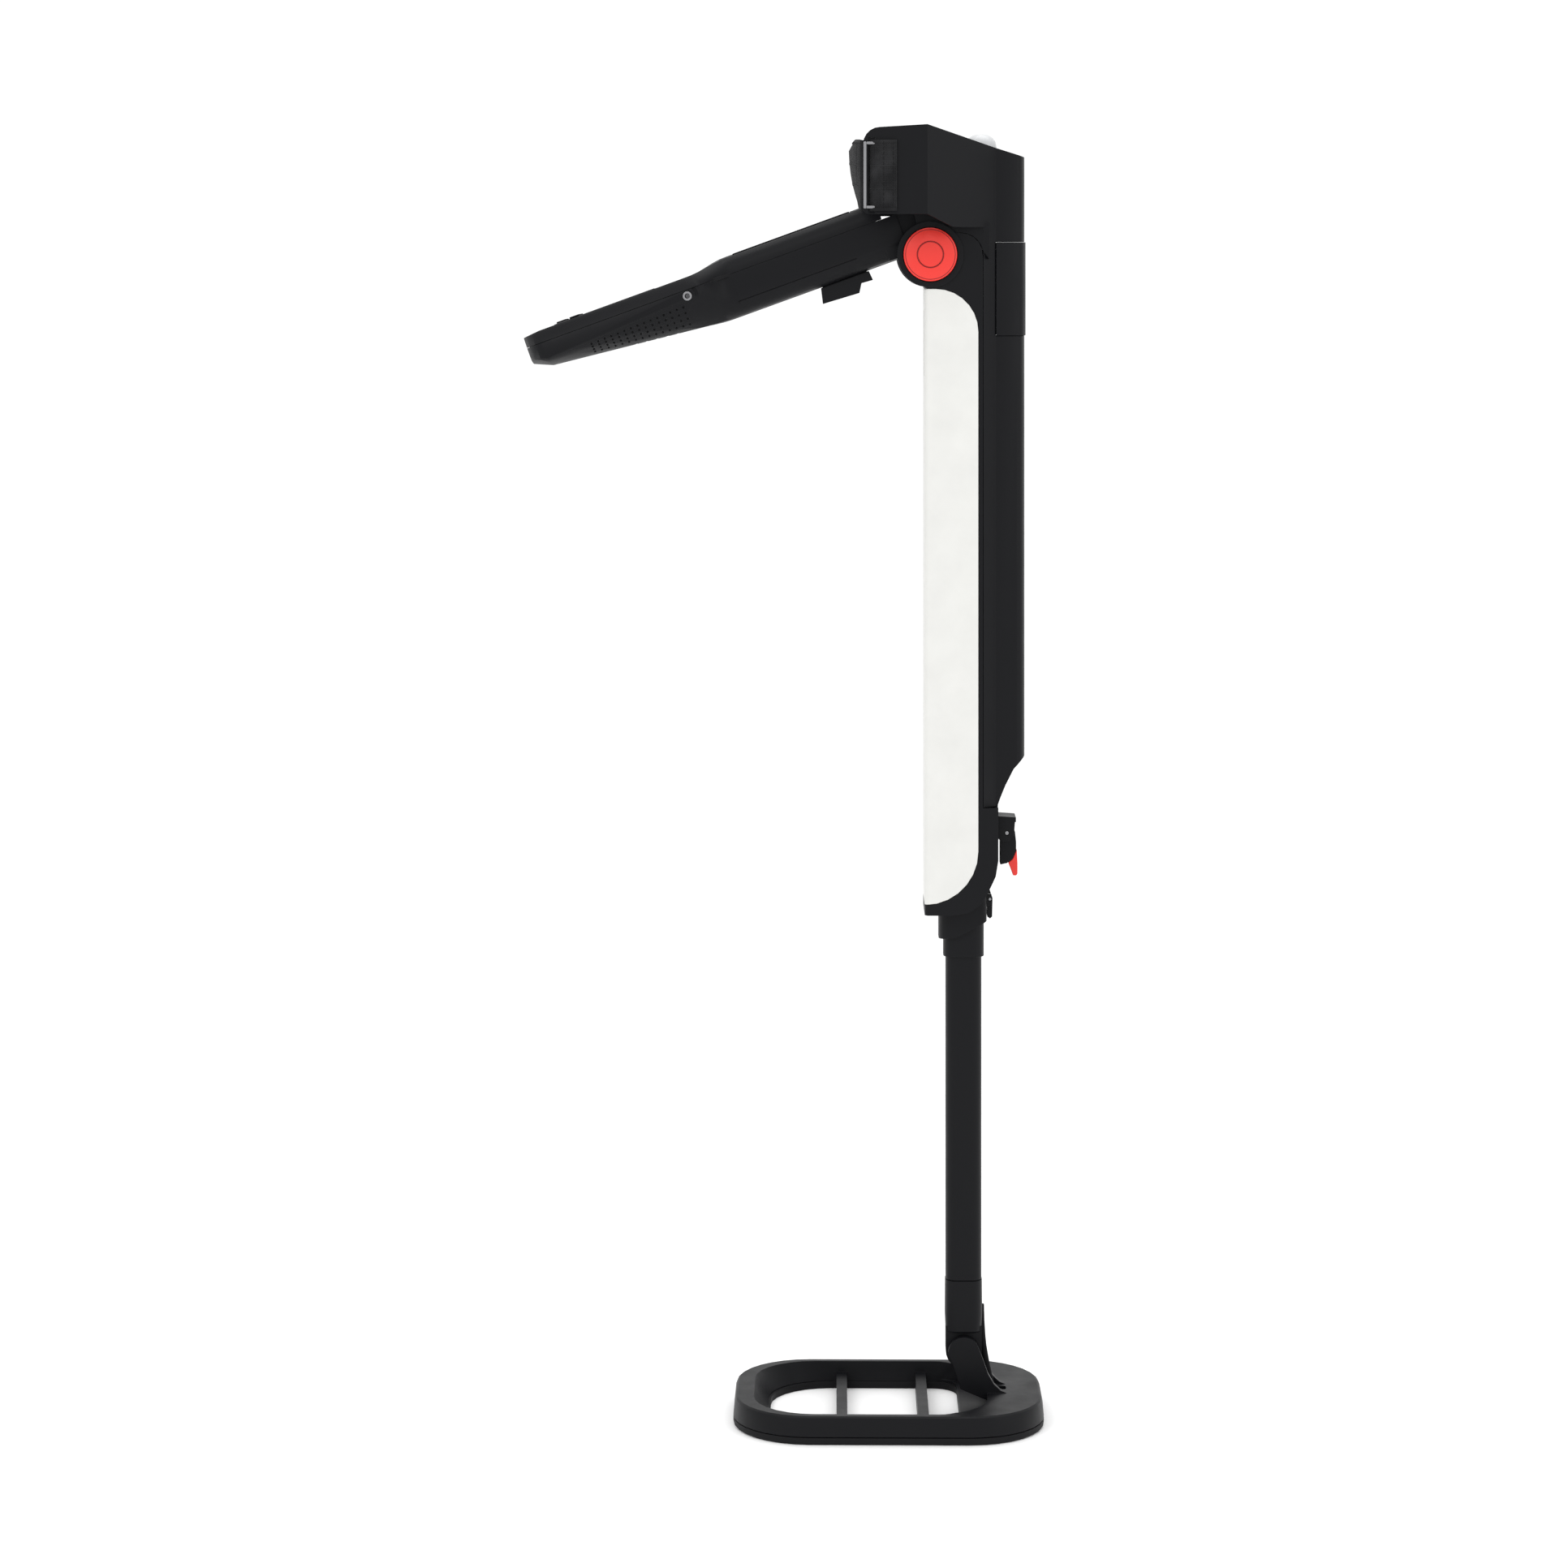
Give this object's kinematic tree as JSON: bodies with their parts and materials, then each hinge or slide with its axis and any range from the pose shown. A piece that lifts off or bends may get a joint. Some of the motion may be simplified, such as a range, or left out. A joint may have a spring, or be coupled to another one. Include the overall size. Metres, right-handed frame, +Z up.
{
  "type": "folding metal detector",
  "caption": "Collapsible hand-held metal detector standing on its oval search coil, with a telescopic shaft, long body, forearm cuff with strap, and a folding grip with control pod.",
  "frame": {"origin": "on the surface it stands on, at the underside of the search coil, straight below the shaft's axis", "axes": "+Z up the shaft; -X towards the coil's nose and the control arm; +X towards the lock levers and the battery door; the mirror plane of the coil, housing and arm is Y = 0"},
  "size_m": [0.3407, 0.138, 0.8478],
  "materials": {
    "black_plastic": "fine spark-eroded texture, satin",
    "dark_plastic": "satin",
    "white_plastic": "smooth, slightly warm white",
    "red_plastic": "smooth, satin",
    "steel": "plated",
    "copper_wire": "enamelled copper wire",
    "soft_rubber": "matte, moulded texture",
    "frosted_cap": "frosted, translucent",
    "webbing": "woven black webbing",
    "board_green": "solder-masked circuit board",
    "window_smoke": "clear hard-coated window",
    "cell_wrap": "plain printed sleeve",
    "nylon": "natural nylon"
  },
  "bodies": {
    "coil": {"coil_shell": "black_plastic", "skid_cover": "dark_plastic", "transmit_winding": "copper_wire", "receive_winding": "copper_wire", "clevis_pin": "dark_plastic", "clevis_washer_near": "soft_rubber", "clevis_washer_far": "soft_rubber", "coil_lead": "soft_rubber"},
    "lower_shaft": {"lower_knuckle": "black_plastic", "lower_shaft": "black_plastic", "shaft_glide": "nylon"},
    "mid_shaft": {"mid_shaft": "black_plastic", "lower_lock_collar": "black_plastic", "lower_lock_pin": "steel"},
    "lower_lever": {"lower_lock_lever": "black_plastic"},
    "housing": {"front_shell": "black_plastic", "white_cover": "white_plastic", "rear_shell_cuff": "black_plastic", "battery_cell_1": "cell_wrap", "battery_cell_2": "cell_wrap", "battery_cell_3": "cell_wrap", "battery_cell_4": "cell_wrap", "battery_tray": "dark_plastic", "contact_plate_low": "steel", "contact_plate_top": "steel", "end_bumper": "frosted_cap", "case_screw": "steel", "upper_lock_bracket": "black_plastic", "upper_lock_pin": "steel", "upper_lock_shoe": "soft_rubber", "fold_axle": "dark_plastic", "strap": "webbing"},
    "upper_lever": {"upper_lock_lever": "black_plastic", "red_lever_tip": "red_plastic"},
    "battery_door": {"battery_door": "black_plastic"},
    "lock_button": {"lock_button": "red_plastic", "lock_dog": "nylon"},
    "arm": {"arm_lower_shell": "black_plastic", "arm_upper_shell": "black_plastic", "headphone_jack": "steel", "display_window": "window_smoke", "display_panel": "dark_plastic", "main_board": "board_green", "key_mat": "soft_rubber", "speaker": "dark_plastic", "grip_top_insert": "soft_rubber", "latch_hook": "black_plastic", "lock_spring": "steel"},
    "key_1": {"pod_key_1": "soft_rubber"},
    "key_2": {"pod_key_2": "soft_rubber"},
    "key_3": {"pod_key_3": "soft_rubber"},
    "key_4": {"pod_key_4": "soft_rubber"},
    "key_5": {"pod_key_5": "soft_rubber"}
  },
  "joints": [
    {"name": "coil_tilt", "type": "hinge", "parent": "coil", "child": "lower_shaft", "pos_m": [0, 0, 0.044], "axis": [0, 1, 0], "range_deg": [-90, 60], "deforming": ["coil_lead"]},
    {"name": "lower_extend", "type": "slide", "parent": "lower_shaft", "child": "mid_shaft", "axis": [0, 0, 1], "range_m": [-0.2, 0.12]},
    {"name": "upper_extend", "type": "slide", "parent": "mid_shaft", "child": "housing", "axis": [0, 0, 1], "range_m": [0, 0.3]},
    {"name": "lower_lock", "type": "hinge", "parent": "mid_shaft", "child": "lower_lever", "pos_m": [0.0171, 0, 0.341], "axis": [0, -1, 0], "range_deg": [0, 90]},
    {"name": "upper_lock", "type": "hinge", "parent": "housing", "child": "upper_lever", "pos_m": [0.0282, 0, 0.3845], "axis": [0, -1, 0], "range_deg": [0, 95]},
    {"name": "arm_fold", "type": "hinge", "parent": "housing", "child": "arm", "pos_m": [-0.0224, 0, 0.764], "axis": [0, -1, 0], "range_deg": [0, 70]},
    {"name": "lock_press", "type": "slide", "parent": "housing", "child": "lock_button", "axis": [0, 1, 0], "range_m": [0, 0.003], "stiffness_N_per_m": 900, "springref_m": -0.002, "deforming": ["lock_spring"]},
    {"name": "door_pull", "type": "slide", "parent": "housing", "child": "battery_door", "axis": [1, 0, 0], "range_m": [0, 0.03]},
    {"name": "key_1_press", "type": "slide", "parent": "arm", "child": "key_1", "axis": [0.342, 0, -0.9397], "range_m": [0, 0.0009], "stiffness_N_per_m": 500, "springref_m": -0.0004},
    {"name": "key_2_press", "type": "slide", "parent": "arm", "child": "key_2", "axis": [0.342, 0, -0.9397], "range_m": [0, 0.0009], "stiffness_N_per_m": 500, "springref_m": -0.0004},
    {"name": "key_3_press", "type": "slide", "parent": "arm", "child": "key_3", "axis": [0.342, 0, -0.9397], "range_m": [0, 0.0009], "stiffness_N_per_m": 500, "springref_m": -0.0004},
    {"name": "key_4_press", "type": "slide", "parent": "arm", "child": "key_4", "axis": [0.342, 0, -0.9397], "range_m": [0, 0.0009], "stiffness_N_per_m": 500, "springref_m": -0.0004},
    {"name": "key_5_press", "type": "slide", "parent": "arm", "child": "key_5", "axis": [0.342, 0, -0.9397], "range_m": [0, 0.0009], "stiffness_N_per_m": 500, "springref_m": -0.0004}
  ]
}
